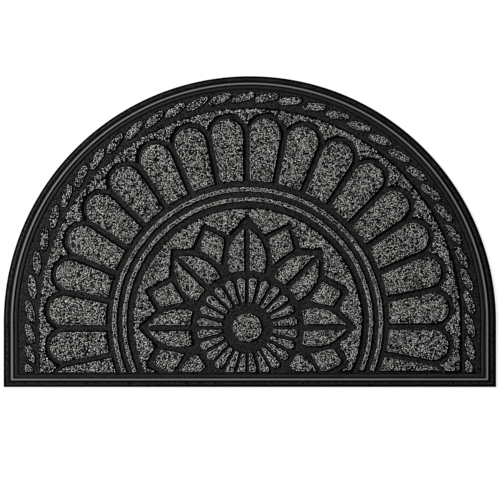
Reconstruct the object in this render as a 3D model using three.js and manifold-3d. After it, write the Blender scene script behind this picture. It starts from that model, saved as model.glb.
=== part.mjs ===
// Half round rubber doormat with raised carpet inlays.
//
// The mat lies flat. +X runs along the straight edge, +Y points from the straight edge to
// the crown of the arch, and +Z is up. The origin is the middle of the underside.
// All lengths are millimetres and all angles are degrees, counter-clockwise from +X.
import * as THREE from "three";
import { mergeVertices } from "three/addons/utils/BufferGeometryUtils.js";
import Module from "manifold-3d";

const wasm = await Module();
wasm.setup();

// Outline of the mat
const MAT_WIDTH = 762;
const SIDE_LENGTH = 100;
const ARCH_RADIUS = MAT_WIDTH / 2;
const MAT_DEPTH = ARCH_RADIUS + SIDE_LENGTH;
const STRAIGHT_EDGE_Y = -MAT_DEPTH / 2;
const ARCH_CENTRE_Y = STRAIGHT_EDGE_Y + SIDE_LENGTH;
const ARCH_STEPS = 48;

// Heights above the underside
const FIELD_HEIGHT = 5;
const PILE_HEIGHT = 3;

// Thin carpet backing that joins the small pieces of the sunburst and of the rope border
const BACKING_THICKNESS = 0.6;
const BACKING_WIDTH = 3.2;

// Moulded rim, from the foot of the outer edge to the flat field. inset is measured at the
// sides; at the crown and along the straight edge the rim is a little narrower.
const CROWN_SHARE = 0.87;
const STRAIGHT_SHARE = 0.86;
const RIM_PROFILE = [
  { inset: 0.0, z: 0.0 },
  { inset: 0.0, z: 2.2 },
  { inset: 1.2, z: 3.4 },
  { inset: 8.4, z: 4.8 },
  { inset: 9.8, z: 4.1 },
  { inset: 11.2, z: 5.8 },
  { inset: 12.7, z: 6.9 },
  { inset: 14.5, z: 6.9 },
  { inset: 16.0, z: 5.8 },
  { inset: 17.2, z: 4.1 },
  { inset: 18.2, z: 5.5 },
  { inset: 22.2, z: 5.5 },
  { inset: 23.4, z: 4.4 },
  { inset: 24.6, z: FIELD_HEIGHT },
];

// The carpet design is cut off in a straight line above the straight edge.
const INLAY_MARGIN = 24;
const CUT_Y = STRAIGHT_EDGE_Y + INLAY_MARGIN;

// The rings of the design are not quite concentric: each wider one sits nearer the crown.
const ROSETTE_CENTRE = new THREE.Vector2(-2.8, -148.6);
const ARCS_CENTRE = new THREE.Vector2(-2.0, -140.6);
const DOMES_CENTRE = new THREE.Vector2(-0.2, -136.5);
const BAND_CENTRE = new THREE.Vector2(0.9, -134.8);
const ROPE_CENTRE = new THREE.Vector2(0.1, -132.1);

// The rings run on a little below the cut line, where they are trimmed.
const RING_SPAN = { from: -40, to: 220, steps: 46 };

// Disc and sunburst in the middle
const DISC_RADIUS = 22.6;
const RAY_COUNT = 24;
const RAY_INNER = 40;
const RAY_OUTER = 77.5;
const RAY_INNER_HALF_WIDTH = 2;
const RAY_OUTER_HALF_WIDTH = 6;
const RAY_END_STEPS = 4;
const RAY_BACKING_INNER = RAY_INNER + 1;

// Flower of eight pointed petals, each two halves either side of a midrib, with a
// rounded kite between each pair
const PETAL_COUNT = 8;
const PETAL_BASE_RADIUS = 87.5;
const PETAL_BASE_HALF_ANGLE = 17.3;
const PETAL_BASE_STEPS = 4;
const PETAL_MIDRIB_HALF_WIDTH = 4;
const PETAL_WIDEST = { along: 110.6, across: 30 };
const PETAL_TIP = 152.5;
const PETAL_TIP_HALF_WIDTH = 0.6;
const PETAL_EDGE_STEPS = 9;
const LEAST_PETAL_AREA = 50;

// Corners of a kite, beyond the radius where it starts. The upper two are longer, and the
// outer corner of the rest leans to the horizontal.
const KITE_START = 105;
const KITE_CORNERS = [
  { along: 0, across: 0, leans: 0, ease: 2 },
  { along: 30, across: -21.5, leans: 0, ease: 4 },
  { along: 53, across: 0, leans: 1, ease: 7 },
  { along: 30, across: 21.5, leans: 0, ease: 4 },
];
const KITE_STRETCH = 1.16;
const KITE_LEAN = 6;
const KITE_CORNER_STEPS = 3;

// Carpet around the flower. Its inner edge follows the petals and kites: corners of a
// quarter of it, from the horizontal up.
const SURROUND_RADIUS = 176.8;
const FLOWER_EDGE = [
  { degrees: 0, radius: 169.4, ease: 2 },
  { degrees: 10.8, radius: 144.2, ease: 1 },
  { degrees: 20.2, radius: 169, ease: 6 },
  { degrees: 33.4, radius: 144, ease: 1 },
  { degrees: 46.2, radius: 168.8, ease: 2 },
  { degrees: 55.2, radius: 147.6, ease: 1 },
  { degrees: 67.5, radius: 175.3, ease: 6 },
  { degrees: 79.2, radius: 146.2, ease: 1 },
  { degrees: 90, radius: 174.8, ease: 2 },
];
const SURROUND_CORNER_STEPS = 2;

// Two narrow carpet arcs, with rubber between them
const ARC_RINGS = [
  { name: "arc_inner", inside: 187.2, outside: 194.2 },
  { name: "arc_outer", inside: 202.6, outside: 209.8 },
];

// Scalloped panels, parted by ribs of one width that meet at the rosette's centre
const PANEL_COUNT = 20;
const PANEL_PITCH = 11.25;
const PANEL_INNER_RADIUS = 217.8;
const DOME_LOCUS_RADIUS = 285;
const RIB_WIDTH = 7.3;
const DOME_CHANNEL = 7.3;
const PANEL_BASE_STEPS = 3;
const DOME_STEPS = 11;
const SCALLOP_STEPS = 8;

// How much further out than their circle the round tops sit, from the crown to the cut line
const DOME_REACH = [3.1, 2.4, 1.1, 0.7, -0.3, -0.6, -1, 1.4, 3, 8];

// Carpet band outside the scallops
const BAND_RADIUS = 324.8;

// Rope border of slanting strands. Each outer end lies clockwise of the inner end, and the
// strands sit a little closer together near the crown.
const ROPE_RADIUS = 339.9;
const STRAND_COUNT = 35;
const STRAND_PITCH = 36.9;
const STRAND_OFFSET = -6.9;
const STRAND_DRIFT = { amount: 4.1, from: 37, period: 669 };
const STRAND_CORNERS = [
  { along: -17.3, across: -7.0, ease: 2.2 },
  { along: 1.5, across: -7.6, ease: 9 },
  { along: 17.3, across: 2.0, ease: 2.2 },
  { along: 17.3, across: 7.0, ease: 2.2 },
  { along: -1.5, across: 7.6, ease: 9 },
  { along: -17.3, across: -2.0, ease: 2.2 },
];
const STRAND_CORNER_STEPS = 1;

// Past this place on the left side the border is drawn closer together
const ROPE_TIGHT = { from: -540, share: 0.83 };

// Vertices closer than this are one vertex
const MERGE_DISTANCE = 1e-3;

const rubberMaterial = () =>
  new THREE.MeshStandardMaterial({ color: 0x1d1e1d, roughness: 0.72, metalness: 0 });
const pileMaterial = () =>
  new THREE.MeshStandardMaterial({ color: 0x585a57, roughness: 1, metalness: 0 });

// Plane geometry

function polar(centre, radius, degrees) {
  const angle = THREE.MathUtils.degToRad(degrees);
  return new THREE.Vector2(
    centre.x + radius * Math.cos(angle),
    centre.y + radius * Math.sin(angle),
  );
}

function heading(degrees) {
  return polar(new THREE.Vector2(0, 0), 1, degrees);
}

// Points of an arc, both ends included
function arcPoints(centre, radius, fromDegrees, toDegrees, steps) {
  const points = [];
  for (let i = 0; i <= steps; i += 1) {
    points.push(polar(centre, radius, fromDegrees + ((toDegrees - fromDegrees) * i) / steps));
  }
  return points;
}

// Distance from a point inside a circle, along a direction, to that circle
function reach(origin, direction, centre, radius) {
  const offset = origin.clone().sub(centre);
  const along = offset.dot(direction);
  return -along + Math.sqrt(along * along - offset.lengthSq() + radius * radius);
}

// Points given along and across an axis that leaves a centre at an angle
function onAxis(centre, degrees, along, across) {
  const axis = heading(degrees);
  return new THREE.Vector2(
    centre.x + axis.x * along - axis.y * across,
    centre.y + axis.y * along + axis.x * across,
  );
}

// Closed outline with each corner eased by its own length along both neighbouring edges
function eased(corners, steps) {
  const points = [];
  corners.forEach((corner, i) => {
    const before = corners[(i + corners.length - 1) % corners.length].at;
    const after = corners[(i + 1) % corners.length].at;
    const start = corner.at.clone().lerp(before, corner.ease / corner.at.distanceTo(before));
    const end = corner.at.clone().lerp(after, corner.ease / corner.at.distanceTo(after));
    const curve = new THREE.QuadraticBezierCurve(start, corner.at, end);
    points.push(...curve.getPoints(steps));
  });
  return points;
}

// Arc through three points, first and last included
function arcThrough(first, middle, last, steps) {
  const a = middle.clone().sub(first);
  const b = last.clone().sub(first);
  const scale = 0.5 / a.cross(b);
  const centre = new THREE.Vector2(
    first.x + (b.y * a.lengthSq() - a.y * b.lengthSq()) * scale,
    first.y + (a.x * b.lengthSq() - b.x * a.lengthSq()) * scale,
  );
  const start = first.clone().sub(centre);
  const end = last.clone().sub(centre);
  const sweep = Math.atan2(start.cross(end), start.dot(end));
  const points = [];
  for (let i = 0; i <= steps; i += 1) {
    points.push(first.clone().rotateAround(centre, (sweep * i) / steps));
  }
  return points;
}

function crossingAt(below, above, y) {
  return below.clone().lerp(above, (y - below.y) / (above.y - below.y));
}

// Part of an outline above the cut line. A closed outline may cross the line twice.
function cutAbove(points, closed) {
  const kept = [];
  points.forEach((point, i) => {
    const previous = points[(i + points.length - 1) % points.length];
    const joined = closed || i > 0;
    if (joined && point.y > CUT_Y !== previous.y > CUT_Y) {
      kept.push(crossingAt(previous, point, CUT_Y));
    }
    if (point.y > CUT_Y) {
      kept.push(point);
    }
  });
  return kept;
}

// Solids

function flatSolid(points, bottom, height) {
  const geometry = new THREE.ExtrudeGeometry(new THREE.Shape(points), {
    depth: height,
    bevelEnabled: false,
  });
  return geometry.translate(0, 0, bottom);
}

function solidFrom(geometry) {
  const bare = geometry.index ? geometry.toNonIndexed() : geometry.clone();
  const merged = mergeVertices(
    new THREE.BufferGeometry().setAttribute("position", bare.getAttribute("position")),
    MERGE_DISTANCE,
  );
  return new wasm.Manifold(
    new wasm.Mesh({
      numProp: 3,
      vertProperties: merged.attributes.position.array,
      triVerts: new Uint32Array(merged.index.array),
    }),
  );
}

function geometryFrom(solid) {
  const mesh = solid.getMesh();
  const geometry = new THREE.BufferGeometry();
  geometry.setAttribute("position", new THREE.BufferAttribute(mesh.vertProperties, 3));
  geometry.setIndex(new THREE.BufferAttribute(mesh.triVerts, 1));
  return geometry;
}

function joined(geometries) {
  const solids = geometries.map(solidFrom);
  return geometryFrom(solids.reduce((whole, solid) => whole.add(solid)));
}

function piece(name, geometry, material) {
  const mesh = new THREE.Mesh(geometry, material);
  mesh.name = name;
  return mesh;
}

function carpet(name, points) {
  return piece(name, flatSolid(points, FIELD_HEIGHT, PILE_HEIGHT), pileMaterial());
}

// Rubber base: the outline of the mat at one level of the rim, inset from the outer edge
function rimOutline(inset) {
  const radius = ARCH_RADIUS - inset;
  const centre = new THREE.Vector2(0, ARCH_CENTRE_Y + (1 - CROWN_SHARE) * inset);
  const edgeY = STRAIGHT_EDGE_Y + STRAIGHT_SHARE * inset;
  return [
    new THREE.Vector2(radius, edgeY),
    ...arcPoints(centre, radius, 0, 180, ARCH_STEPS),
    new THREE.Vector2(-radius, edgeY),
  ];
}

function rubberBase() {
  const rings = RIM_PROFILE.map((row) => rimOutline(row.inset));
  const count = rings[0].length;
  const positions = [];
  rings.forEach((ring, level) => {
    ring.forEach((point) => positions.push(point.x, point.y, RIM_PROFILE[level].z));
  });
  const indices = [];
  for (let level = 0; level + 1 < rings.length; level += 1) {
    for (let i = 0; i < count; i += 1) {
      const a = level * count + i;
      const b = level * count + ((i + 1) % count);
      indices.push(a, b, b + count, a, b + count, a + count);
    }
  }
  const top = (rings.length - 1) * count;
  THREE.ShapeUtils.triangulateShape(rings[rings.length - 1], []).forEach(([a, b, c]) => {
    indices.push(top + a, top + b, top + c);
  });
  THREE.ShapeUtils.triangulateShape(rings[0], []).forEach(([a, b, c]) => {
    indices.push(a, c, b);
  });
  const geometry = new THREE.BufferGeometry();
  geometry.setAttribute("position", new THREE.Float32BufferAttribute(positions, 3));
  geometry.setIndex(indices);
  geometry.computeVertexNormals();
  return piece("rubber_base", geometry, rubberMaterial());
}

// Closed circle about the middle of the rosette
function circle(radius, steps) {
  return arcPoints(ROSETTE_CENTRE, radius, 0, 360, steps).slice(0, -1);
}

function disc() {
  return carpet("disc", circle(DISC_RADIUS, RAY_COUNT));
}

// One ray: narrow at its inner end, with a round outer end
function rayOutline(degrees) {
  const shoulder = RAY_OUTER - RAY_OUTER_HALF_WIDTH;
  const tip = onAxis(ROSETTE_CENTRE, degrees, shoulder, 0);
  const outline = [
    onAxis(ROSETTE_CENTRE, degrees, RAY_INNER, -RAY_INNER_HALF_WIDTH),
    ...arcPoints(tip, RAY_OUTER_HALF_WIDTH, degrees - 90, degrees + 90, RAY_END_STEPS),
    onAxis(ROSETTE_CENTRE, degrees, RAY_INNER, RAY_INNER_HALF_WIDTH),
  ];
  return cutAbove(outline, true);
}

// All the rays on the thin backing that joins them
function sunburst() {
  const rays = [];
  for (let i = 0; i < RAY_COUNT; i += 1) {
    const degrees = (360 / RAY_COUNT) * (i + 0.5);
    rays.push(flatSolid(rayOutline(degrees), FIELD_HEIGHT, PILE_HEIGHT));
  }
  const steps = RAY_COUNT * 2;
  const backing = new THREE.Shape(circle(RAY_BACKING_INNER + BACKING_WIDTH, steps));
  backing.holes.push(new THREE.Path(circle(RAY_BACKING_INNER, steps)));
  const sheet = new THREE.ExtrudeGeometry(backing, {
    depth: BACKING_THICKNESS,
    bevelEnabled: false,
  });
  sheet.translate(0, 0, FIELD_HEIGHT);
  return piece("sunburst", joined([sheet, ...rays]), pileMaterial());
}

// One half of a pointed petal. side is 1 for the counter-clockwise half, -1 for the other.
function petalHalf(degrees, side) {
  const innerAngle = THREE.MathUtils.radToDeg(
    Math.asin(PETAL_MIDRIB_HALF_WIDTH / PETAL_BASE_RADIUS),
  );
  const base = arcPoints(
    ROSETTE_CENTRE,
    PETAL_BASE_RADIUS,
    degrees + side * innerAngle,
    degrees + side * PETAL_BASE_HALF_ANGLE,
    PETAL_BASE_STEPS,
  );
  const across = (width) => side * (PETAL_MIDRIB_HALF_WIDTH + width);
  const edge = arcThrough(
    base[base.length - 1],
    onAxis(ROSETTE_CENTRE, degrees, PETAL_WIDEST.along, side * PETAL_WIDEST.across),
    onAxis(ROSETTE_CENTRE, degrees, PETAL_TIP, across(PETAL_TIP_HALF_WIDTH)),
    PETAL_EDGE_STEPS,
  );
  const outline = [
    ...base,
    ...edge.slice(1),
    onAxis(ROSETTE_CENTRE, degrees, PETAL_TIP, across(0)),
  ];
  return cutAbove(side > 0 ? outline.reverse() : outline, true);
}

function petals() {
  const pieces = [];
  for (let i = 0; i < PETAL_COUNT; i += 1) {
    const degrees = (360 / PETAL_COUNT) * (i - 1);
    [-1, 1].forEach((side) => {
      const outline = petalHalf(degrees, side);
      if (outline.length > 2 && Math.abs(THREE.ShapeUtils.area(outline)) > LEAST_PETAL_AREA) {
        const half = side > 0 ? "left" : "right";
        pieces.push(carpet(`petal_${i + 1}_${half}`, outline));
      }
    });
  }
  return pieces;
}

function kites() {
  const pieces = [];
  for (let i = 0; i < PETAL_COUNT; i += 1) {
    const degrees = (360 / PETAL_COUNT) * (i - 0.5);
    const axis = heading(degrees);
    const upper = axis.y > Math.SQRT1_2;
    const stretch = upper ? KITE_STRETCH : 1;
    const lean = upper ? 0 : -KITE_LEAN * Math.sign(axis.x * axis.y);
    const corners = KITE_CORNERS.map((corner) => ({
      at: onAxis(
        ROSETTE_CENTRE,
        degrees,
        KITE_START + corner.along * stretch,
        corner.across + corner.leans * lean,
      ),
      ease: corner.ease,
    }));
    const outline = cutAbove(eased(corners, KITE_CORNER_STEPS), true);
    if (outline.length > 2) {
      pieces.push(carpet(`kite_${i + 1}`, outline));
    }
  }
  return pieces;
}

// Inner edge of the surround, from under the flower up its right side and down its left
function flowerEdge() {
  const up = FLOWER_EDGE;
  const down = [...up].reverse();
  const turned = (corners, toDegrees) =>
    corners.map((corner) => ({
      at: polar(ROSETTE_CENTRE, corner.radius, toDegrees(corner.degrees)),
      ease: corner.ease,
    }));
  const corners = [
    ...turned(down, (degrees) => -degrees),
    ...turned(up.slice(1), (degrees) => degrees),
    ...turned(down.slice(1), (degrees) => 180 - degrees),
    ...turned(up.slice(1, -1), (degrees) => 180 + degrees),
  ];
  return eased(corners, SURROUND_CORNER_STEPS);
}

// A carpet strip between two open edges that both end on the cut line
function strip(name, outer, inner) {
  return carpet(name, [...cutAbove(outer, false), ...cutAbove(inner, false).reverse()]);
}

// Open ring about the middle of the arcs
function openRing(radius) {
  return arcPoints(ARCS_CENTRE, radius, RING_SPAN.from, RING_SPAN.to, RING_SPAN.steps);
}

function surround() {
  return strip("surround", openRing(SURROUND_RADIUS), flowerEdge());
}

function narrowArcs() {
  return ARC_RINGS.map((ring) => strip(ring.name, openRing(ring.outside), openRing(ring.inside)));
}

// Where the round top of one scalloped panel is centred, and how wide it is
function domeOf(index) {
  const degrees = panelAngle(index);
  const fromCrown = Math.floor(Math.abs(index - (PANEL_COUNT - 1) / 2));
  const extra = DOME_REACH[Math.min(fromCrown, DOME_REACH.length - 1)];
  const circle = reach(ROSETTE_CENTRE, heading(degrees), DOMES_CENTRE, DOME_LOCUS_RADIUS);
  const distance = circle + extra;
  const halfPitch = THREE.MathUtils.degToRad(PANEL_PITCH / 2);
  return {
    centre: polar(ROSETTE_CENTRE, distance, degrees),
    radius: distance * Math.sin(halfPitch) - RIB_WIDTH / 2,
  };
}

function panelAngle(index) {
  return 90 + PANEL_PITCH * (index - (PANEL_COUNT - 1) / 2);
}

// Inner corner of a panel: where its side, parallel to the rib, meets the inner circle
function panelCorner(degrees, side) {
  const along = heading(degrees + (side * PANEL_PITCH) / 2);
  const inward = new THREE.Vector2(along.y, -along.x).multiplyScalar(side);
  const start = ROSETTE_CENTRE.clone().addScaledVector(inward, RIB_WIDTH / 2);
  const distance = reach(start, along, ARCS_CENTRE, PANEL_INNER_RADIUS);
  return start.addScaledVector(along, distance);
}

function panel(index) {
  const degrees = panelAngle(index);
  const dome = domeOf(index);
  const span = 90 + PANEL_PITCH / 2;
  const left = panelCorner(degrees, 1).sub(ARCS_CENTRE);
  const right = panelCorner(degrees, -1).sub(ARCS_CENTRE);
  const base = arcPoints(
    ARCS_CENTRE,
    PANEL_INNER_RADIUS,
    THREE.MathUtils.radToDeg(left.angle()),
    THREE.MathUtils.radToDeg(left.angle() - left.angleTo(right)),
    PANEL_BASE_STEPS,
  );
  const top = arcPoints(dome.centre, dome.radius, degrees - span, degrees + span, DOME_STEPS);
  const outline = cutAbove([...base, ...top], true);
  return carpet(`panel_${String(index + 1).padStart(2, "0")}`, outline);
}

function panels() {
  const pieces = [];
  for (let index = 0; index < PANEL_COUNT; index += 1) {
    pieces.push(panel(index));
  }
  return pieces;
}

// Point of the band's scalloped edge between a panel and the one before it
function cusp(index) {
  const degrees = panelAngle(index) - PANEL_PITCH / 2;
  const distances = [index - 1, index].map((neighbour) => {
    const dome = domeOf(neighbour);
    return reach(ROSETTE_CENTRE, heading(degrees), dome.centre, dome.radius + DOME_CHANNEL);
  });
  return polar(ROSETTE_CENTRE, (distances[0] + distances[1]) / 2, degrees);
}

function scallopedEdge() {
  const edge = [];
  for (let index = 0; index < PANEL_COUNT; index += 1) {
    const dome = domeOf(index);
    const from = cusp(index).sub(dome.centre);
    const to = cusp(index + 1).sub(dome.centre);
    const points = arcPoints(
      dome.centre,
      dome.radius + DOME_CHANNEL,
      THREE.MathUtils.radToDeg(from.angle()),
      THREE.MathUtils.radToDeg(from.angle() + from.angleTo(to)),
      SCALLOP_STEPS,
    );
    edge.push(cusp(index), ...points.slice(1, -1));
  }
  return edge;
}

// Path that runs straight up one side, round the arch and down the other side. along is
// measured clockwise from the crown, across is measured outwards.
function archPath(centre, radius, along, across) {
  const quarter = (radius * Math.PI) / 2;
  if (Math.abs(along) > quarter) {
    const side = Math.sign(along);
    return new THREE.Vector2(
      centre.x + side * (radius + across),
      centre.y - (Math.abs(along) - quarter),
    );
  }
  return polar(centre, radius + across, 90 - THREE.MathUtils.radToDeg(along / radius));
}

// Outer edge of the band: an arch whose legs run down past the cut line
function bandOuterEdge() {
  return [
    new THREE.Vector2(BAND_CENTRE.x + BAND_RADIUS, STRAIGHT_EDGE_Y),
    ...arcPoints(BAND_CENTRE, BAND_RADIUS, 0, 180, ARCH_STEPS),
    new THREE.Vector2(BAND_CENTRE.x - BAND_RADIUS, STRAIGHT_EDGE_Y),
  ];
}

function outerBand() {
  return strip("outer_band", bandOuterEdge(), scallopedEdge());
}

// The same place along the border once its left end is drawn together
function drawnTogether(along) {
  const past = Math.min(along - ROPE_TIGHT.from, 0);
  return along - (1 - ROPE_TIGHT.share) * past;
}

// How far along the border the middle of one strand lies, before that
function strandPlace(index) {
  const along = STRAND_OFFSET + STRAND_PITCH * (index - (STRAND_COUNT - 1) / 2);
  const turn = (2 * Math.PI * (along - STRAND_DRIFT.from)) / STRAND_DRIFT.period;
  return along - STRAND_DRIFT.amount * Math.cos(turn);
}

function strandOutline(index) {
  const place = strandPlace(index);
  const corners = STRAND_CORNERS.map((corner) => ({
    at: new THREE.Vector2(corner.along, corner.across),
    ease: corner.ease,
  }));
  const outline = eased(corners, STRAND_CORNER_STEPS).map((point) =>
    archPath(ROPE_CENTRE, ROPE_RADIUS, drawnTogether(place + point.x), point.y),
  );
  return cutAbove(outline.reverse(), true);
}

// Thin backing under the middle of the strands. It bends only at the middle of a strand.
function ropeBacking() {
  const end = (ROPE_RADIUS * Math.PI) / 2 + ROPE_CENTRE.y - CUT_Y;
  const stations = [-end];
  for (let index = 0; index < STRAND_COUNT; index += 1) {
    const place = drawnTogether(strandPlace(index));
    if (Math.abs(place) < end) {
      stations.push(place);
    }
  }
  stations.push(end);
  const edge = (across) =>
    stations.map((along) => archPath(ROPE_CENTRE, ROPE_RADIUS, along, across));
  const outline = [...edge(BACKING_WIDTH / 2), ...edge(-BACKING_WIDTH / 2).reverse()];
  return flatSolid(outline, FIELD_HEIGHT, BACKING_THICKNESS);
}

// All the strands on the backing that joins them
function ropeBorder() {
  const strands = [];
  for (let index = 0; index < STRAND_COUNT; index += 1) {
    const outline = strandOutline(index);
    if (outline.length > 2) {
      strands.push(flatSolid(outline, FIELD_HEIGHT, PILE_HEIGHT));
    }
  }
  return piece("rope_border", joined([ropeBacking(), ...strands]), pileMaterial());
}

function doormat() {
  const mat = new THREE.Group();
  mat.add(rubberBase());
  mat.add(disc(), sunburst());
  mat.add(...petals(), ...kites(), surround());
  mat.add(...narrowArcs());
  mat.add(...panels(), outerBand());
  mat.add(ropeBorder());
  return mat;
}

const doormatGroup = doormat();
export default doormatGroup;
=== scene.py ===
# Half round rubber doormat with raised carpet inlays, seen from straight above.
import math

import bpy
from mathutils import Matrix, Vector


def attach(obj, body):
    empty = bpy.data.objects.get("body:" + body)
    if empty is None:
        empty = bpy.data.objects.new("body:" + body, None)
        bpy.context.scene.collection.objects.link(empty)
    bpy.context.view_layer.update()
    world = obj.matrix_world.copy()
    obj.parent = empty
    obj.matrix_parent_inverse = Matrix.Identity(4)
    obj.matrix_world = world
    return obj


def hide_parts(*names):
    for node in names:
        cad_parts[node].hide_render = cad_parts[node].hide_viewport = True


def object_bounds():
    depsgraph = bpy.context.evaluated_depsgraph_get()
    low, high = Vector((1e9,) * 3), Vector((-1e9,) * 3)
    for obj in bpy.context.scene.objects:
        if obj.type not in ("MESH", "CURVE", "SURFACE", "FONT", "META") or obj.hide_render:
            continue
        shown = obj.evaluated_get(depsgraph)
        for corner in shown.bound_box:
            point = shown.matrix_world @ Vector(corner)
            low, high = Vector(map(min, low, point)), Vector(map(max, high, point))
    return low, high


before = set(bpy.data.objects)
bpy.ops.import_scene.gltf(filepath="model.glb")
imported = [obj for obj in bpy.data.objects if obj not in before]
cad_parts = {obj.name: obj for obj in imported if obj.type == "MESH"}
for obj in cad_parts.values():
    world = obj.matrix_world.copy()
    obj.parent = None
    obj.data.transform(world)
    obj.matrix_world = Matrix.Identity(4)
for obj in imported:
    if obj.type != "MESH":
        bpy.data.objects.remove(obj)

MM = 0.001
cad_low, cad_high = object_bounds()

# Outline of the mat, from the frame
WIDTH = cad_high.x - cad_low.x
DEPTH = cad_high.y - cad_low.y
ARCH_RADIUS = WIDTH / 2
SIDE_LENGTH = DEPTH - ARCH_RADIUS
STRAIGHT_EDGE_Y = cad_low.y
ARCH_CENTRE_Y = STRAIGHT_EDGE_Y + SIDE_LENGTH
ARCH_STEPS = 180

# Heights above the underside
PILE_TOP = cad_high.z
FIELD = PILE_TOP - 3 * MM
GROUND_TOP = FIELD + 0.5 * MM

# Rim, from the top of the outer wall to the flat field: how far in from the edge and how
# high, in millimetres. It is a little narrower at the crown and along the straight edge.
CROWN_SHARE = 0.87
STRAIGHT_SHARE = 0.86
RIM = (
    dict(inset=0.0, z=2.2),
    dict(inset=1.4, z=3.4),
    dict(inset=3.2, z=4.2),
    dict(inset=4.9, z=5.0),
    dict(inset=7.2, z=4.95),
    dict(inset=8.8, z=4.3),
    dict(inset=10.0, z=4.0),
    dict(inset=11.4, z=5.8),
    dict(inset=12.9, z=6.9),
    dict(inset=14.3, z=6.9),
    dict(inset=15.9, z=5.8),
    dict(inset=17.0, z=4.1),
    dict(inset=18.4, z=5.5),
    dict(inset=21.8, z=5.5),
    dict(inset=23.0, z=4.3),
    dict(inset=24.2, z=4.3),
    dict(inset=25.0, z=5.0),
)

# The rim's corners are bevelled by this much, and the smooth shading stops at this angle
RIM_SOFTNESS = 0.35 * MM
RIM_SEGMENTS = 2
SMOOTH_ANGLE = math.radians(50)

# A narrow band around the field that keeps it flat, and the reach of its test
FIELD_HOLD = 0.4 * MM
HOLD_MARGIN = 0.1

# Points this near to each other, or to a line, are in the same place
SAME_PLACE = 1e-6
SAME_LOOP_PLACE = 1e-7

# The least upward part of the normal of a face that looks up, and the play in its height
LOOKS_UP = 0.9
TOP_PLAY = 0.01 * MM

# Yarn loops. The centre lies where a loop leaves the ground, and each loop is stretched so
# that its top is just under the top of the pile
YARN_RADIUS = 0.62 * MM
LOOP_RADIUS = 0.9 * MM
LOOP_SIDES = 3
LOOP_STEPS = 4
LOOP_STRETCH = 1.75
LOOP_HEADROOM = 0.05 * MM
LOOP_CENTRE = PILE_TOP - LOOP_HEADROOM - LOOP_STRETCH * (YARN_RADIUS + LOOP_RADIUS)
LOOP_SPACING = 1.52 * MM
LOOP_DENSITY = 1.3e6
ROW_SPACING = 2.0 * MM
ROW_STRAY = 0.45 * MM
ROW_TO_FIELD = 1.35 * MM

# Random turns in radians, scales and shifts of the inner loops and of the outer row, each
# from its lowest to its highest, and the seed of each draw
INNER_TURN = ((-0.45, -0.45, 0), (0.45, 0.45, math.tau))
INNER_SCALE = ((0.8, 0.8, 0.8), (1.2, 1.15, 1.0))
ROW_TURN = ((-0.3, -0.2, -0.5), (0.3, 0.2, 0.5))
ROW_SCALE = ((0.8, 0.8, 0.8), (1.2, 1.0, 0.95))
ROW_SHIFT = ((-ROW_STRAY, -ROW_STRAY, -ROW_STRAY / 2), (ROW_STRAY, ROW_STRAY, 0))
TONE = (0.0, 1.0)
SEEDS = dict(inner_turn=11, inner_scale=12, row_turn=13, row_scale=14, tone=15, row_shift=16)

# The ground is drawn as a taller blank, and reaches this far beyond the outer row of loops,
# so that its near black edge paints shade around the pile
GROUND_BLANK = 6 * MM
GROUND_MARGIN = 2.2 * MM

# How far the outer row of loops stands in from the inlay's outline, in millimetres, less in
# the half panels and half petals along the straight edge, and the same for the two winding
# inlays, whose edge has no row
ROW_INSETS = dict(
    panel_01=1.2,
    panel_20=1.2,
    panel=2.7,
    petal_1=1.0,
    petal_7=1.0,
    petal=1.85,
    kite=1.6,
    disc=1.45,
    sunburst=0.6,
    arc=1.4,
    rope=0.35,
)
LOOSE_INSETS = dict(
    surround=0.8,
    outer_band=0.3,
)

# The tone of the darkest yarn, in the inlays that look lighter or darker than the rest
LEAST_TONES = dict(
    panel=-0.03,
    outer_band=-0.1,
    petal=0.06,
    kite=0.06,
    disc=0.1,
    sunburst=0.16,
    arc=0.25,
)

# Inside the rope the pile sits a little askew on its ground
PILE_TURN = math.radians(0.3)
PILE_SLIDE = (-1.3 * MM, 0, 0)

# The camera looks straight down
VIEW_WIDTH = 773.1 * MM
VIEW_X = 0.2 * MM
VIEW_Y = -28.5 * MM
LENS = 250
SENSOR = 36

# Noise scales, per metre
CLOUD_SCALE = 25
MOTTLE_SCALE = 450
GRAIN_SCALE = 1400
GROUND_FIBRE_SCALE = 1500
YARN_FIBRE_SCALE = 4000

# Rubber: cloudy and mottled on the field, with painted shade that turns it black low on the
# rim, on its outer lip and in its grooves, and a painted highlight along the bead's crest
RUBBER_CLOUDS = (
    (0.3, (0.0037, 0.0048, 0.0035)),
    (0.7, (0.0055, 0.0068, 0.0053)),
)
RUBBER_MOTTLES = ((0.35, (0.15,) * 3), (0.65, (1.0,) * 3))
RUBBER_LEAST = (0.0004, 0.0004, 0.0004, 1)
RUBBER_PAINTED_SHADE = (0.0005, 0.0005, 0.0005, 1)
RUBBER_PAINTED_HIGHLIGHT = (0.095, 0.096, 0.094, 1)
RAISED_MOTTLE = (0.53, 0.53, 0.53, 1)
RAISED_HEIGHTS = (5.0 * MM, 5.4 * MM)
PAINTED_SHADE_HEIGHTS = (4.1 * MM, 4.95 * MM)
HIGHLIGHT_HEIGHTS = (6.3 * MM, 6.8 * MM)
GRAIN_SPAN = (0.3, 0.7)
ROUGHNESS_SPAN = (0.6, 0.8)
MOTTLE_SPAN = (0.38, 0.62)
GLOSS_SPAN = (0.0, 0.22)

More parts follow.
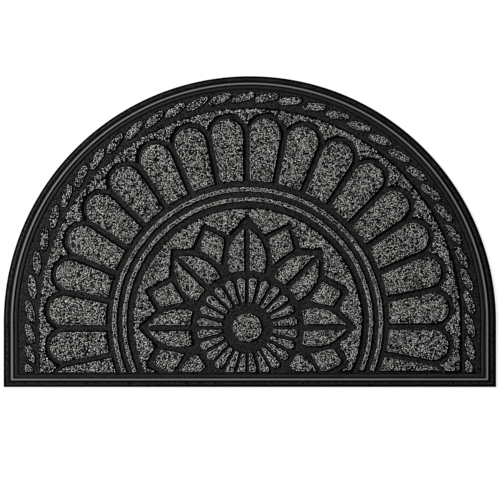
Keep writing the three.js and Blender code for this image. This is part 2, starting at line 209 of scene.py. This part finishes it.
# Carpet: a near black ground, whose edge is also painted shade around the pile, and heather
# yarn from black to pale grey, with painted shade that darkens it towards its foot
GROUND_AND_SHADE_TONES = (
    (0.3, (0.0005, 0.0005, 0.0005)),
    (0.7, (0.002, 0.002, 0.002)),
)
YARN_TONES = (
    (0.0, (0.004, 0.004, 0.004)),
    (0.2, (0.025, 0.026, 0.024)),
    (0.45, (0.3, 0.309, 0.292)),
    (0.75, (0.68, 0.697, 0.663)),
    (1.0, (0.88, 0.9, 0.86)),
)
FIBRE_SHARE = 0.5
FIBRE_TONES = ((0.35, (0.6,) * 3), (0.65, (1.0,) * 3))
FOOT_SHADE_HEIGHTS = (GROUND_TOP + 0.6 * MM, PILE_TOP - 0.6 * MM)
FOOT_SHADE_TONES = ((0.0, (0.04,) * 3), (1.0, (1.0,) * 3))

# Floor and light
FLOOR_SIZE = 6
FLOOR_COLOUR = (0.1, 0.1, 0.1, 1)
FLOOR_GLOW = 0.87
WHITE = (1, 1, 1, 1)
WORLD_STRENGTH = 0.05
KEY_PLACE = (-3.66, 1.33, 2.44)
KEY_SIZE = 0.7
KEY_POWER = 730


def camera():
    data = bpy.data.cameras.new("camera")
    data.lens = LENS
    data.sensor_width = SENSOR
    view = bpy.data.objects.new("camera", data)
    bpy.context.scene.collection.objects.link(view)
    view.location = (VIEW_X, VIEW_Y, FIELD + VIEW_WIDTH * LENS / SENSOR)
    bpy.context.scene.camera = view


def select_only(piece):
    bpy.ops.object.select_all(action="DESELECT")
    piece.select_set(True)
    bpy.context.view_layer.objects.active = piece


def edit(piece, mode):
    select_only(piece)
    bpy.ops.object.mode_set(mode="EDIT")
    bpy.ops.mesh.select_mode(type=mode)
    bpy.ops.mesh.select_all(action="DESELECT")


def select_where(piece, kind, wanted):
    """Selects, in edit mode, only the vertices, edges or faces that are wanted."""
    bpy.ops.mesh.select_all(action="DESELECT")
    bpy.ops.object.mode_set(mode="OBJECT")
    for part in getattr(piece.data, kind):
        part.select = wanted(part)
    bpy.ops.object.mode_set(mode="EDIT")


def done(piece):
    bpy.ops.object.mode_set(mode="OBJECT")
    return piece


def apply_place(piece):
    select_only(piece)
    bpy.ops.object.transform_apply(location=True, rotation=True, scale=True)
    return piece


# Materials


def material(name, rough, specular):
    made = bpy.data.materials.new(name)
    made.use_nodes = True
    shader = made.node_tree.nodes["Principled BSDF"]
    shader.inputs["Roughness"].default_value = rough
    shader.inputs["Specular IOR Level"].default_value = specular
    return made, made.node_tree, shader


def add(tree, kind, **settings):
    node = tree.nodes.new(kind)
    for name, value in settings.items():
        setattr(node, name, value)
    return node


def shown(sockets):
    """The sockets of a node that its settings leave in use."""
    return [socket for socket in sockets if socket.enabled]


def object_place(tree):
    return add(tree, "ShaderNodeTexCoord").outputs["Object"]


def noise(tree, scale, detail):
    node = add(tree, "ShaderNodeTexNoise")
    node.inputs["Scale"].default_value = scale
    node.inputs["Detail"].default_value = detail
    tree.links.new(object_place(tree), node.inputs["Vector"])
    return node.outputs["Fac"]


def ramp(tree, factor, stops):
    node = add(tree, "ShaderNodeValToRGB")
    elements = node.color_ramp.elements
    while len(elements) < len(stops):
        elements.new(0.5)
    for element, (place, colour) in zip(elements, stops):
        element.position = place
        element.color = (*colour, 1)
    tree.links.new(factor, node.inputs["Fac"])
    return node.outputs["Color"]


def between(tree, value, span, result=(0.0, 1.0)):
    """Maps a span of a value to the span of the result, and holds it beyond either end."""
    node = add(tree, "ShaderNodeMapRange")
    ends = dict(zip(("From Min", "From Max", "To Min", "To Max"), (*span, *result)))
    for name, end in ends.items():
        node.inputs[name].default_value = end
    tree.links.new(value, node.inputs["Value"])
    return node.outputs["Result"]


def mixed(tree, kind, factor, first, second):
    node = add(tree, "ShaderNodeMix", data_type="RGBA", blend_type=kind)
    for name, value in (("Factor", factor), ("A", first), ("B", second)):
        socket = next(s for s in shown(node.inputs) if s.name == name)
        if isinstance(value, bpy.types.NodeSocket):
            tree.links.new(value, socket)
        else:
            socket.default_value = value
    return shown(node.outputs)[0]


def height(tree):
    node = add(tree, "ShaderNodeSeparateXYZ")
    tree.links.new(object_place(tree), node.inputs["Vector"])
    return node.outputs["Z"]


def bump(tree, shader, value, strength, distance):
    node = add(tree, "ShaderNodeBump")
    node.inputs["Strength"].default_value = strength
    node.inputs["Distance"].default_value = distance
    tree.links.new(value, node.inputs["Height"])
    tree.links.new(node.outputs["Normal"], shader.inputs["Normal"])


def rubber_material():
    made, tree, shader = material("moulded_rubber", 0.65, 0.1)
    level = height(tree)
    raised = between(tree, level, RAISED_HEIGHTS)
    # Painted shade: this mask picks the rubber that lies lower than the field, the outer lip
    # and the rim's grooves
    low = between(tree, level, PAINTED_SHADE_HEIGHTS)
    # Painted highlight: this mask picks the crest of the bead
    crest_highlight = between(tree, level, HIGHLIGHT_HEIGHTS)
    clouds = noise(tree, CLOUD_SCALE, 3)
    grain = noise(tree, GRAIN_SCALE, 2)
    mottles = noise(tree, MOTTLE_SCALE, 2)
    mottles = mixed(tree, "MIX", raised, mottles, RAISED_MOTTLE)
    colour = ramp(tree, clouds, RUBBER_CLOUDS)
    shade = ramp(tree, mottles, RUBBER_MOTTLES)
    colour = mixed(tree, "MULTIPLY", 1.0, colour, shade)
    colour = mixed(tree, "ADD", 1.0, colour, RUBBER_LEAST)
    # Painted shade: the low rubber is coloured near black
    colour = mixed(tree, "MIX", low, RUBBER_PAINTED_SHADE, colour)
    # Painted highlight: the bead's crest is coloured lighter, where it catches the light
    colour = mixed(tree, "MIX", crest_highlight, colour, RUBBER_PAINTED_HIGHLIGHT)
    rough = between(tree, grain, GRAIN_SPAN, ROUGHNESS_SPAN)
    # The painted shade also takes the gloss away from the low rubber
    gloss = add(tree, "ShaderNodeMath", operation="MULTIPLY")
    tree.links.new(low, gloss.inputs[0])
    tree.links.new(between(tree, mottles, MOTTLE_SPAN, GLOSS_SPAN), gloss.inputs[1])
    tree.links.new(colour, shader.inputs["Base Color"])
    tree.links.new(rough, shader.inputs["Roughness"])
    tree.links.new(gloss.outputs[0], shader.inputs["Specular IOR Level"])
    bump(tree, shader, grain, 0.3, 0.15 * MM)
    return made


def ground_material():
    made, tree, shader = material("carpet_ground", 1.0, 0.0)
    fibre = noise(tree, GROUND_FIBRE_SCALE, 3)
    # Near black: the backing's own colour, and painted shade at its edge around the pile
    colour = ramp(tree, fibre, GROUND_AND_SHADE_TONES)
    tree.links.new(colour, shader.inputs["Base Color"])
    bump(tree, shader, fibre, 0.5, 0.3 * MM)
    return made


def yarn_material():
    made, tree, shader = material("heather_yarn", 0.9, 0.05)
    tone = add(tree, "ShaderNodeAttribute", attribute_name="tone").outputs["Fac"]
    colour = ramp(tree, tone, YARN_TONES)
    fibre = noise(tree, YARN_FIBRE_SCALE, 2)
    strands = ramp(tree, fibre, FIBRE_TONES)
    colour = mixed(tree, "MULTIPLY", FIBRE_SHARE, colour, strands)
    # Painted shade: the yarn darkens towards its foot, where the pile shades it
    depth = ramp(tree, between(tree, height(tree), FOOT_SHADE_HEIGHTS), FOOT_SHADE_TONES)
    colour = mixed(tree, "MULTIPLY", 1.0, colour, depth)
    tree.links.new(colour, shader.inputs["Base Color"])
    bump(tree, shader, fibre, 0.5, 0.1 * MM)
    return made


def floor_material():
    made, tree, shader = material("pale_floor", 0.9, 0.1)
    shader.inputs["Base Color"].default_value = FLOOR_COLOUR
    shader.inputs["Emission Color"].default_value = WHITE
    shader.inputs["Emission Strength"].default_value = FLOOR_GLOW
    return made


# Rubber base


def rubber_base(finish):
    """The moulding: a half disc drawn out to the straight edge, with its rim inset in steps
    from the top of the outer wall to the field."""
    first = RIM[0]
    bpy.ops.mesh.primitive_circle_add(
        vertices=2 * ARCH_STEPS,
        radius=ARCH_RADIUS,
        fill_type="NGON",
        location=(0, ARCH_CENTRE_Y, 0),
    )
    base = apply_place(bpy.context.object)
    base.name = "mat_rubber"
    edit(base, "FACE")
    bpy.ops.mesh.select_all(action="SELECT")
    bpy.ops.mesh.bisect(
        plane_co=(0, ARCH_CENTRE_Y, 0),
        plane_no=(0, 1, 0),
        clear_inner=True,
    )
    bpy.ops.mesh.select_mode(type="EDGE")
    select_where(base, "edges", lambda e: on_line(base, e, ARCH_CENTRE_Y))
    bpy.ops.mesh.extrude_region_move(
        TRANSFORM_OT_translate=dict(value=(0, -SIDE_LENGTH, 0))
    )
    bpy.ops.mesh.select_mode(type="FACE")
    bpy.ops.mesh.select_all(action="SELECT")
    bpy.ops.mesh.dissolve_faces()
    bpy.ops.mesh.select_all(action="SELECT")
    bpy.ops.mesh.extrude_region_move(
        TRANSFORM_OT_translate=dict(value=(0, 0, first["z"] * MM))
    )
    before = first
    for row in RIM[1:]:
        step = (row["inset"] - before["inset"]) * MM
        rise = (row["z"] - before["z"]) * MM
        bpy.ops.mesh.inset(thickness=step, depth=rise)
        narrow_ends(base, step)
        before = row
    bpy.ops.mesh.inset(thickness=FIELD_HOLD, depth=0)
    bpy.ops.mesh.select_all(action="SELECT")
    bpy.ops.mesh.normals_make_consistent(inside=False)
    done(base)
    soften(base)
    base.data.materials.append(finish)
    return base


def on_line(piece, edge, y):
    ends = [piece.data.vertices[v].co.y for v in edge.vertices]
    return all(abs(end - y) < SAME_PLACE for end in ends)


def narrow_ends(base, step):
    """Moves the arch and the straight edge of the selected top face out again by their own
    share of the last step, and leaves the face selected."""
    bpy.ops.object.mode_set(mode="OBJECT")
    top = next(f for f in base.data.polygons if f.select)
    lowest = min(base.data.vertices[v].co.y for v in top.vertices)
    middle = (lowest + ARCH_CENTRE_Y) / 2
    arch = [v for v in top.vertices if base.data.vertices[v].co.y > middle]
    edge = [v for v in top.vertices if base.data.vertices[v].co.y <= middle]
    index = top.index
    for vertices, share in ((arch, CROWN_SHARE), (edge, -STRAIGHT_SHARE)):
        slide = math.copysign(1 - abs(share), share) * step
        for v in vertices:
            base.data.vertices[v].co.y += slide
    bpy.ops.object.mode_set(mode="EDIT")
    bpy.ops.mesh.select_mode(type="FACE")
    select_where(base, "polygons", lambda f: f.index == index)


def soften(base):
    """Bevels the level edges of the rim, and leaves the underside and the field alone."""
    edit(base, "EDGE")
    vertices = base.data.vertices
    hold = (RIM[-1]["inset"] + HOLD_MARGIN) * MM

    def along_rim(edge):
        ends = [vertices[v].co for v in edge.vertices]
        level = abs(ends[0].z - ends[1].z) < SAME_PLACE
        return level and ends[0].z > SAME_PLACE and not all(map(held, ends))

    def held(point):
        on_field = abs(point.z - FIELD) < SAME_PLACE
        return on_field and abs(point.x) < ARCH_RADIUS - hold and in_field(point, hold)

    select_where(base, "edges", along_rim)
    bpy.ops.mesh.bevel(
        offset=RIM_SOFTNESS,
        segments=RIM_SEGMENTS,
        affect="EDGES",
        clamp_overlap=True,
    )
    done(base)
    select_only(base)
    bpy.ops.object.shade_smooth_by_angle(angle=SMOOTH_ANGLE)


def in_field(point, inset):
    """Whether a point lies further in from the edge than an inset."""
    if point.y < STRAIGHT_EDGE_Y + STRAIGHT_SHARE * inset:
        return False
    centre_y = ARCH_CENTRE_Y + (1 - CROWN_SHARE) * inset
    if point.y < centre_y:
        return abs(point.x) < ARCH_RADIUS - inset
    return math.hypot(point.x, point.y - centre_y) < ARCH_RADIUS - inset


# Carpet inlays


def carpet_region(node, name):
    """A new piece with only the flat top of a node's inlay, each island one face."""
    mesh = node.data.copy()
    piece = bpy.data.objects.new(name, mesh)
    bpy.context.scene.collection.objects.link(piece)
    mesh.materials.clear()
    edit(piece, "FACE")
    bpy.ops.mesh.select_all(action="SELECT")
    bpy.ops.mesh.remove_doubles(threshold=SAME_PLACE)
    top = PILE_TOP - TOP_PLAY
    select_where(piece, "polygons", lambda f: f.normal.z < LOOKS_UP or f.center.z < top)
    bpy.ops.mesh.delete(type="FACE")
    bpy.ops.mesh.select_all(action="SELECT")
    bpy.ops.mesh.dissolve_faces()
    return done(piece)


def ground(node, finish):
    """The carpet's ground: a thin near black slab, standing for the carpet's backing, whose
    edge shows as a dark line of painted shade around the pile.
    """
    piece = carpet_region(node, "ground_" + node.name)
    edit(piece, "FACE")
    bpy.ops.mesh.select_all(action="SELECT")
    bpy.ops.transform.translate(value=(0, 0, FIELD - PILE_TOP))
    bpy.ops.mesh.extrude_region_move(
        TRANSFORM_OT_translate=dict(value=(0, 0, GROUND_BLANK))
    )
    bpy.ops.mesh.select_all(action="SELECT")
    bpy.ops.mesh.normals_make_consistent(inside=False)
    spread = GROUND_MARGIN - inset_of(node, ROW_INSETS | LOOSE_INSETS)
    bpy.ops.transform.shrink_fatten(value=spread, use_even_offset=True)
    done(piece)
    for corner in piece.data.vertices:
        upper = corner.co.z > FIELD + GROUND_BLANK / 2
        corner.co.z = GROUND_TOP if upper else FIELD
    piece.data.materials.append(finish)
    return piece


def inset_only(thickness):
    """Insets the selected faces and deletes the border that this leaves."""
    bpy.ops.mesh.inset(thickness=thickness, depth=0)
    bpy.ops.mesh.select_all(action="INVERT")
    bpy.ops.mesh.delete(type="FACE")
    bpy.ops.mesh.select_all(action="SELECT")


def loop_places(node):
    """A flat piece that carries the loops: its outline the outer row, its faces the rest."""
    piece = carpet_region(node, "pile_" + node.name)
    edit(piece, "FACE")
    bpy.ops.mesh.select_all(action="SELECT")
    if has_row(node):
        inset_only(inset_of(node, ROW_INSETS))
    bpy.ops.transform.translate(value=(0, 0, LOOP_CENTRE - PILE_TOP))
    if not node.name.startswith("rope"):
        bpy.ops.transform.rotate(
            value=-PILE_TURN, orient_axis="Z", center_override=rosette_centre()
        )
        bpy.ops.transform.translate(value=PILE_SLIDE)
    return done(piece)


def has_row(node):
    """Whether a row of loops follows the inlay's outline."""
    return not node.name.startswith(tuple(LOOSE_INSETS))


def inset_of(node, insets):
    return next(insets[kind] for kind in insets if node.name.startswith(kind)) * MM


def rosette_centre():
    corners = [v.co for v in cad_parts["disc"].data.vertices]
    middle = [(min(c[i] for c in corners) + max(c[i] for c in corners)) / 2 for i in (0, 1)]
    return (*middle, 0)


def yarn_loop(finish):
    """One loop of yarn standing on its two feet, centred where it leaves the ground."""
    bpy.ops.mesh.primitive_circle_add(
        vertices=LOOP_SIDES,
        radius=YARN_RADIUS,
        fill_type="NGON",
        location=(LOOP_RADIUS, 0, 0),
    )
    loop = apply_place(bpy.context.object)
    loop.name = "yarn_loop"
    edit(loop, "FACE")
    bpy.ops.mesh.select_all(action="SELECT")
    bpy.ops.mesh.spin(steps=LOOP_STEPS, angle=math.pi, center=(0, 0, 0), axis=(0, 1, 0))
    bpy.ops.mesh.select_all(action="SELECT")
    bpy.ops.mesh.remove_doubles(threshold=SAME_LOOP_PLACE)
    bpy.ops.mesh.normals_make_consistent(inside=False)
    bpy.ops.transform.resize(value=(1, 1, LOOP_STRETCH), center_override=(0, 0, 0))
    done(loop)
    bpy.ops.object.shade_smooth()
    loop.data.materials.append(finish)
    return loop


def scatter(loop):
    """Geometry nodes that stand a loop on every place of a piece, each with its own tone."""
    group = bpy.data.node_groups.new("loop_scatter", "GeometryNodeTree")
    sockets = dict(
        Geometry="NodeSocketGeometry",
        Seed="NodeSocketInt",
        Clearance="NodeSocketFloat",
        Row="NodeSocketBool",
        Darkest="NodeSocketFloat",
    )
    for name, kind in sockets.items():
        group.interface.new_socket(name, in_out="INPUT", socket_type=kind)
    group.interface.new_socket("Geometry", in_out="OUTPUT", socket_type="NodeSocketGeometry")
    source = add(group, "NodeGroupInput")
    index = add(group, "GeometryNodeInputIndex")
    link = group.links.new

    def random(kind, span, draw):
        """A random value for each point, from a seed of its own."""
        node = add(group, "FunctionNodeRandomValue", data_type=kind)
        low, high = shown(node.inputs)[:2]
        low.default_value, high.default_value = span
        seed = add(group, "ShaderNodeMath", operation="ADD")
        seed.inputs[1].default_value = SEEDS[draw]
        link(source.outputs["Seed"], seed.inputs[0])
        link(seed.outputs[0], node.inputs["Seed"])
        link(index.outputs[0], node.inputs["ID"])
        return node

    def loops_on(points, rotation, scale):
        node = add(group, "GeometryNodeInstanceOnPoints")
        link(points, node.inputs["Points"])
        link(yarn.outputs["Geometry"], node.inputs["Instance"])
        link(rotation, node.inputs["Rotation"])
        link(shown(scale.outputs)[0], node.inputs["Scale"])
        return node.outputs["Instances"]

    yarn = add(group, "GeometryNodeObjectInfo")
    yarn.inputs["Object"].default_value = loop

    # The outline, as a curve along the edges that have one face
    neighbours = add(group, "GeometryNodeInputMeshEdgeNeighbors")
    rim = add(group, "FunctionNodeCompare", data_type="INT", operation="EQUAL")
    link(neighbours.outputs[0], shown(rim.inputs)[0])
    shown(rim.inputs)[1].default_value = 1
    outline = add(group, "GeometryNodeMeshToCurve")
    link(source.outputs["Geometry"], outline.inputs["Mesh"])
    link(rim.outputs[0], outline.inputs["Selection"])

    # The inner loops, at random, clear of the outline
    spread = add(
        group, "GeometryNodeDistributePointsOnFaces", distribute_method="POISSON"
    )
    spread.inputs["Distance Min"].default_value = LOOP_SPACING
    spread.inputs["Density Max"].default_value = LOOP_DENSITY
    link(source.outputs["Geometry"], spread.inputs["Mesh"])
    link(source.outputs["Seed"], spread.inputs["Seed"])
    wire = add(group, "GeometryNodeCurveToMesh")
    link(outline.outputs["Curve"], wire.inputs["Curve"])
    reach = add(group, "GeometryNodeProximity", target_element="EDGES")
    link(wire.outputs[0], reach.inputs["Geometry"])
    near = add(group, "FunctionNodeCompare", data_type="FLOAT", operation="LESS_THAN")
    link(reach.outputs["Distance"], shown(near.inputs)[0])
    link(source.outputs["Clearance"], shown(near.inputs)[1])
    clear = add(group, "GeometryNodeDeleteGeometry", domain="POINT")
    link(spread.outputs["Points"], clear.inputs["Geometry"])
    link(near.outputs[0], clear.inputs["Selection"])
    turn = random("FLOAT_VECTOR", INNER_TURN, "inner_turn")
    inner = loops_on(
        clear.outputs[0],
        shown(turn.outputs)[0],
        random("FLOAT_VECTOR", INNER_SCALE, "inner_scale"),
    )

    # The row along each outline
    resampled = add(group, "GeometryNodeResampleCurve", mode="LENGTH")
    resampled.inputs["Length"].default_value = ROW_SPACING
    link(outline.outputs["Curve"], resampled.inputs["Curve"])
    along = add(group, "FunctionNodeAlignRotationToVector", axis="X", pivot_axis="Z")
    tangent = add(group, "GeometryNodeInputTangent")
    link(tangent.outputs[0], along.inputs["Vector"])
    turned = add(group, "FunctionNodeRotateRotation", rotation_space="LOCAL")
    link(along.outputs[0], turned.inputs["Rotation"])
    turn = random("FLOAT_VECTOR", ROW_TURN, "row_turn")
    link(shown(turn.outputs)[0], turned.inputs["Rotate By"])
    moved = add(group, "GeometryNodeSetPosition")
    link(resampled.outputs["Curve"], moved.inputs["Geometry"])
    shift = random("FLOAT_VECTOR", ROW_SHIFT, "row_shift")
    link(shown(shift.outputs)[0], moved.inputs["Offset"])
    row = loops_on(
        moved.outputs[0],
        turned.outputs[0],
        random("FLOAT_VECTOR", ROW_SCALE, "row_scale"),
    )

    # Both together, each loop with its own tone
    wanted = add(group, "GeometryNodeSwitch", input_type="GEOMETRY")
    link(source.outputs["Row"], wanted.inputs["Switch"])
    link(row, wanted.inputs["True"])
    joined = add(group, "GeometryNodeJoinGeometry")
    link(inner, joined.inputs[0])
    link(wanted.outputs[0], joined.inputs[0])
    tone = random("FLOAT", TONE, "tone")
    link(source.outputs["Darkest"], shown(tone.inputs)[0])
    toned = add(
        group, "GeometryNodeStoreNamedAttribute", domain="INSTANCE", data_type="FLOAT"
    )
    toned.inputs["Name"].default_value = "tone"
    link(joined.outputs[0], toned.inputs["Geometry"])
    link(shown(tone.outputs)[0], toned.inputs["Value"])
    real = add(group, "GeometryNodeRealizeInstances")
    link(toned.outputs[0], real.inputs[0])
    end = add(group, "NodeGroupOutput")
    link(real.outputs[0], end.inputs[0])
    return group


def pile(node, group, seed):
    piece = loop_places(node)
    select_only(piece)
    grow = piece.modifiers.new("loops", "NODES")
    grow.node_group = group
    row = has_row(node)
    clearance = ROW_TO_FIELD if row else inset_of(node, LOOSE_INSETS)
    darkest = next((LEAST_TONES[k] for k in LEAST_TONES if node.name.startswith(k)), 0.0)
    settings = dict(Seed=seed, Clearance=clearance, Row=row, Darkest=darkest)
    for socket in group.interface.items_tree:
        if socket.name in settings:
            grow[socket.identifier] = settings[socket.name]
    bpy.ops.object.modifier_apply(modifier="loops")
    return piece


def inlay(node, ground_finish, group, seed):
    """One inlay: its ground, a sheet laid on the base, and the pile that stands on it."""
    under = ground(node, ground_finish)
    loops = pile(node, group, seed)
    for piece in (under, loops):
        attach(piece, "root")
        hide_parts(node.name)


# Floor and light


def floor(finish):
    bpy.ops.mesh.primitive_plane_add(size=FLOOR_SIZE)
    plane = bpy.context.object
    plane.name = "floor"
    plane.data.materials.append(finish)


def key_light():
    """A soft light that is aimed at the middle of the mat."""
    data = bpy.data.lights.new("key", "AREA")
    data.shape = "DISK"
    data.size = KEY_SIZE
    data.energy = KEY_POWER
    light = bpy.data.objects.new("key", data)
    bpy.context.scene.collection.objects.link(light)
    light.location = KEY_PLACE
    light.rotation_euler = (-light.location).to_track_quat("-Z", "Y").to_euler()


def studio():
    world = bpy.data.worlds.new("studio")
    world.use_nodes = True
    background = world.node_tree.nodes["Background"]
    background.inputs["Color"].default_value = WHITE
    background.inputs["Strength"].default_value = WORLD_STRENGTH
    bpy.context.scene.world = world
    key_light()
    bpy.context.scene.view_settings.view_transform = "Standard"


camera()
rubber = rubber_material()
ground_finish = ground_material()
yarn = yarn_material()

base = rubber_base(rubber)
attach(base, "root")
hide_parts("rubber_base")

loop = yarn_loop(yarn)
group = scatter(loop)
inlays = sorted(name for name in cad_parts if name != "rubber_base")
for seed, name in enumerate(inlays):
    inlay(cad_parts[name], ground_finish, group, seed)
bpy.data.objects.remove(loop)

floor(floor_material())
studio()
